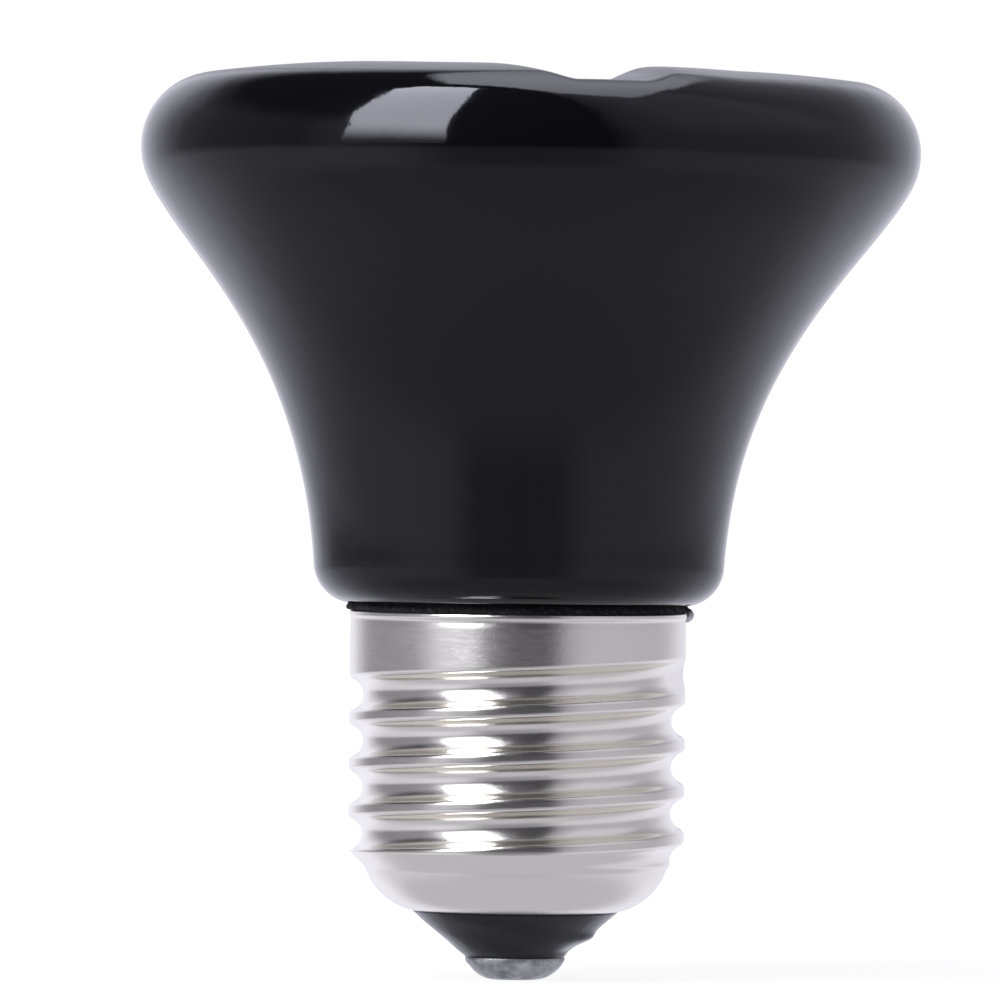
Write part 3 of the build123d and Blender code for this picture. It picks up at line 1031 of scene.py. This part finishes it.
def crumble(x, y, z):
    """Ragged outer edge where the cement stands above the shell."""
    turn = np.arctan2(y, x)
    free = smooth_step(z, rim_height - 0.05, rim_height + 0.15)
    outer = smooth_step(np.hypot(x, y), cement_radius - 0.6, cement_radius - 0.2)
    slant = 2.0 * z
    coarse = waves(turn, (7, 0.10, slant + 0.3), (17, 0.08, slant + 1.7))
    fine = waves(turn, (39, 0.06, slant + 2.9), (71, 0.05, slant + 0.8))
    squeezed_out = cement_lip * np.exp(-(1 + np.cos(turn)) / 0.08)
    return *push_out(x, y, free * outer * (coarse + fine + squeezed_out - 0.02)), z


cement_mesh = turned_mesh("basing_cement_ring", cement.points, even_turn(420), crumble)
cement_ring = new_piece("basing_cement_ring", cement_mesh, "basing_cement")

dark_cement, graph = new_paint("cement")
place = graph.place()
crumbs = noise(graph, place, 0.35, 5.0, 0.7)
tone = graph.tones(
    crumbs, [(0.5, (0.006, 0.006, 0.006, 1.0)), (0.75, (0.09, 0.085, 0.08, 1.0))]
)
crumbly = bump(graph, crumbs, 0.12)
finish_paint(graph, Base_Color=tone, Roughness=0.7 + crumbs * 0.2, Normal=crumbly)
cement_mesh.materials.append(dark_cement)

# %% [markdown]
# The bead of solder on the rim starts as a turned ball. It is squeezed into the box of the
# joint in the working model, and two slow waves make it as lumpy as one soldered by hand.

# %% Drop the side solder
joint_low, joint_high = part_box("shell_solder")
bead_centre = (joint_low + joint_high) / 2 / MM
bead_size = (joint_high - joint_low) / 2 / MM
width_share = 0.85
height_share = 0.8
bead = Pen(0.0, -1.0, 90.0)
bead.arc(1.0, 180.0, 24)
bead.points[-1] = (0.0, 1.0)


def settle(x, y, z):
    """Unit ball squeezed to the bead's size, with a soft lump, at the side joint."""
    turn = np.arctan2(y, x)
    grow = width_share * (1 + waves(turn, (2, 0.08, 2 * z), (5, 0.05, -3 * z)))
    return (
        bead_centre.x + x * grow * bead_size.x,
        bead_centre.y + y * grow * bead_size.y,
        bead_centre.z + z * height_share * bead_size.z,
    )


bead_mesh = turned_mesh("shell_solder_bead", bead.points, even_turn(48), settle)
side_bead = new_piece("shell_solder_bead", bead_mesh, "shell_solder")
bead_mesh.materials.append(tin)
print("cement and side joint done")

# %% [markdown]
# ## Inside
# The coil, the leads and their sleeves are sealed in, and their shapes in the working model
# are right. They only need finishes: oxidised resistance wire, drawn nickel wire and a
# woven sleeve whose braid is two crossed waves.

# %% Finish the inner pieces
wire, graph = new_paint("resistance_wire")
place = graph.place()
scale_marks = noise(graph, place, 0.8, 4.0, 0.7)
tone = graph.mix_colour(scale_marks, (0.10, 0.09, 0.085, 1.0), (0.36, 0.33, 0.31, 1.0))
scaled = bump(graph, scale_marks, 0.05)
finish_paint(graph, Base_Color=tone, Metallic=0.9, Roughness=0.4 + scale_marks * 0.3, Normal=scaled)

lead, graph = new_paint("lead_wire")
place = graph.place()
draw_marks = noise(graph, place, 0.4, 3.0)
tone = graph.mix_colour(draw_marks, (0.48, 0.46, 0.44, 1.0), (0.62, 0.6, 0.58, 1.0))
finish_paint(graph, Base_Color=tone, Metallic=1.0, Roughness=0.25 + draw_marks * 0.15)

braid, graph = new_paint("woven_sleeve")
place = graph.place()
rising = graph.node("ShaderNodeTexWave", {"Vector": place, "Scale": 700.0, "Distortion": 1.0})
crossing = graph.node(
    "ShaderNodeTexWave",
    {"Vector": place, "Scale": 700.0, "Distortion": 1.0},
    {"bands_direction": "Z"},
)
threads = rising * crossing
tone = graph.mix_colour(threads, (0.5, 0.47, 0.4, 1.0), (0.8, 0.77, 0.7, 1.0))
woven = bump(graph, threads, 0.1)
finish_paint(graph, Base_Color=tone, Roughness=0.8 + threads * 0.1, Normal=woven)

inner_finishes = {
    "heating_coil": wire,
    "shell_lead": lead,
    "centre_lead": lead,
    "shell_sleeve": braid,
    "centre_sleeve": braid,
}
for node_name, paint in inner_finishes.items():
    nodes[node_name].data.materials.clear()
    nodes[node_name].data.materials.append(paint)
print("inner pieces finished:", len(inner_finishes))

# %% [markdown]
# ## Sizes
# Both boxes, the working model's and the dressed one's, are printed in millimetres.

# %% Print the sizes and finish
dressed_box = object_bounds()
boxes = {
    "cad": [list(corner) for corner in cad_box],
    "dressed": [list(corner) for corner in dressed_box],
}
for label, corners in boxes.items():
    spans = [round((high - low) / MM, 2) for low, high in zip(*corners)]
    print(label, "box in mm:", spans)
